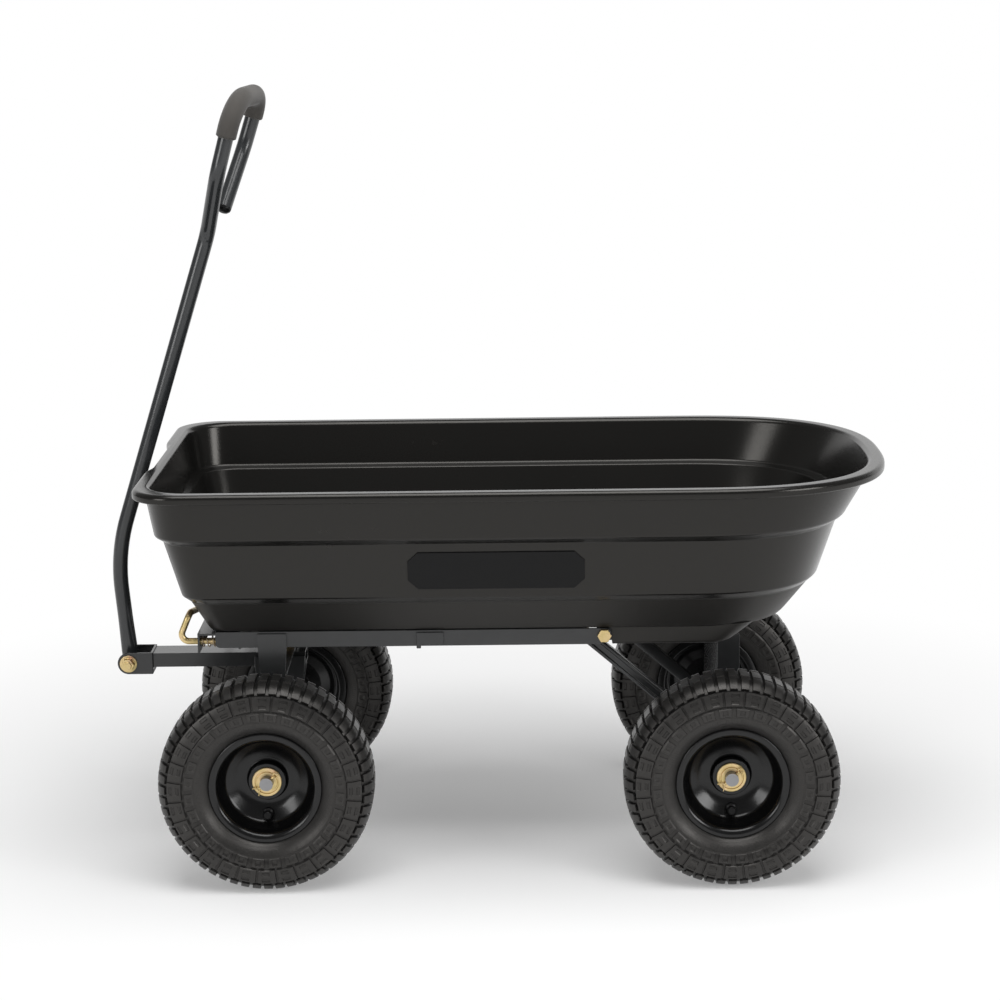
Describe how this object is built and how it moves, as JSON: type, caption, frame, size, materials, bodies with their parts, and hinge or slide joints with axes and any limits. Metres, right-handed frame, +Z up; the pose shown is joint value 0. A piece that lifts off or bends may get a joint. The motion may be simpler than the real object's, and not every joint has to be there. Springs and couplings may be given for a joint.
{
  "type": "garden dump cart",
  "caption": "Garden dump cart: a stepped plastic tub that tips on a hinged rail frame, steered front axle, folding loop handle, sprung pin latch and pneumatic wheels.",
  "frame": {"origin": "on the ground, under the middle of the whole cart's box", "axes": "+X from the handle end to the rear, +Y from the cart's left side (latch and badge) to its right side, +Z up"},
  "size_m": [0.9752, 0.517, 0.9503],
  "materials": {
    "tub_plastic": "fine matte moulded polyethylene",
    "trim_black": "black, satin",
    "frame_steel": "charcoal powder coat",
    "zinc_gold": "yellow zinc plated",
    "axle_steel": "bare steel",
    "spring_steel": "bright wire",
    "handle_paint": "black powder coat",
    "grip_foam": "soft foam sleeve",
    "tyre_rubber": "black rubber",
    "rim_black": "gloss black paint"
  },
  "bodies": {
    "front_frame": {"rail_left": "frame_steel", "rail_right": "frame_steel", "front_crossbar": "frame_steel", "bolster": "frame_steel", "kingpin": "zinc_gold", "thrust_washer": "axle_steel", "rail_clips": "frame_steel", "latch_guide": "frame_steel", "latch_spring": "spring_steel"},
    "tub": {"tub": "tub_plastic", "rear_well": "tub_plastic", "badge_plate": "trim_black", "hinge_ear_left": "frame_steel", "hinge_ear_right": "frame_steel", "hinge_rod": "zinc_gold", "strike_plate": "frame_steel", "tub_screws": "zinc_gold", "rear_bracket_web": "frame_steel", "rear_bracket_left": "frame_steel", "rear_bracket_right": "frame_steel", "strut_left": "frame_steel", "strut_right": "frame_steel", "strut_feet": "frame_steel", "rear_axle": "axle_steel", "rear_washers": "zinc_gold", "rear_collars": "frame_steel", "rear_cotters": "zinc_gold"},
    "steering": {"tongue": "frame_steel", "fork_left": "frame_steel", "fork_right": "frame_steel", "clevis_left": "frame_steel", "clevis_right": "frame_steel", "clevis_web": "frame_steel", "handle_pivot": "zinc_gold", "front_axle": "axle_steel", "front_washers": "zinc_gold", "front_collars": "frame_steel", "front_cotters": "zinc_gold"},
    "handle": {"handle_tube": "handle_paint", "handle_sleeve": "handle_paint", "foam_grip": "grip_foam", "handle_end_cap": "trim_black"},
    "latch": {"latch_rod": "zinc_gold", "latch_collar": "zinc_gold"},
    "wheel_front_left": {"tyre_front_left": "tyre_rubber", "rim_front_left": "rim_black", "hub_front_left": "rim_black", "valve_front_left": "trim_black"},
    "wheel_front_right": {"tyre_front_right": "tyre_rubber", "rim_front_right": "rim_black", "hub_front_right": "rim_black", "valve_front_right": "trim_black"},
    "wheel_rear_left": {"tyre_rear_left": "tyre_rubber", "rim_rear_left": "rim_black", "hub_rear_left": "rim_black", "valve_rear_left": "trim_black"},
    "wheel_rear_right": {"tyre_rear_right": "tyre_rubber", "rim_rear_right": "rim_black", "hub_rear_right": "rim_black", "valve_rear_right": "trim_black"}
  },
  "joints": [
    {"name": "tub_tip", "type": "hinge", "parent": "front_frame", "child": "tub", "pos_m": [0.13523, 0, 0.294], "axis": [0, 1, 0], "range_deg": [0, 60]},
    {"name": "steer", "type": "hinge", "parent": "front_frame", "child": "steering", "pos_m": [-0.26827, 0, 0.24], "axis": [0, 0, 1], "range_deg": [-18, 18]},
    {"name": "handle_fold", "type": "hinge", "parent": "steering", "child": "handle", "pos_m": [-0.46723, 0, 0.225], "axis": [0, -1, 0], "range_deg": [0, 115]},
    {"name": "latch_pull", "type": "slide", "parent": "front_frame", "child": "latch", "axis": [-1, 0, 0], "range_m": [0, 0.018], "stiffness_N_per_m": 400, "springref_m": -0.012, "deforming": ["latch_spring"]},
    {"name": "spin_front_left", "type": "hinge", "parent": "steering", "child": "wheel_front_left", "pos_m": [-0.27427, -0.2165, 0.13], "axis": [0, 1, 0], "continuous": true},
    {"name": "spin_front_right", "type": "hinge", "parent": "steering", "child": "wheel_front_right", "pos_m": [-0.27427, 0.2165, 0.13], "axis": [0, 1, 0], "continuous": true},
    {"name": "spin_rear_left", "type": "hinge", "parent": "tub", "child": "wheel_rear_left", "pos_m": [0.28573, -0.2165, 0.13], "axis": [0, 1, 0], "continuous": true},
    {"name": "spin_rear_right", "type": "hinge", "parent": "tub", "child": "wheel_rear_right", "pos_m": [0.28573, 0.2165, 0.13], "axis": [0, 1, 0], "continuous": true}
  ]
}
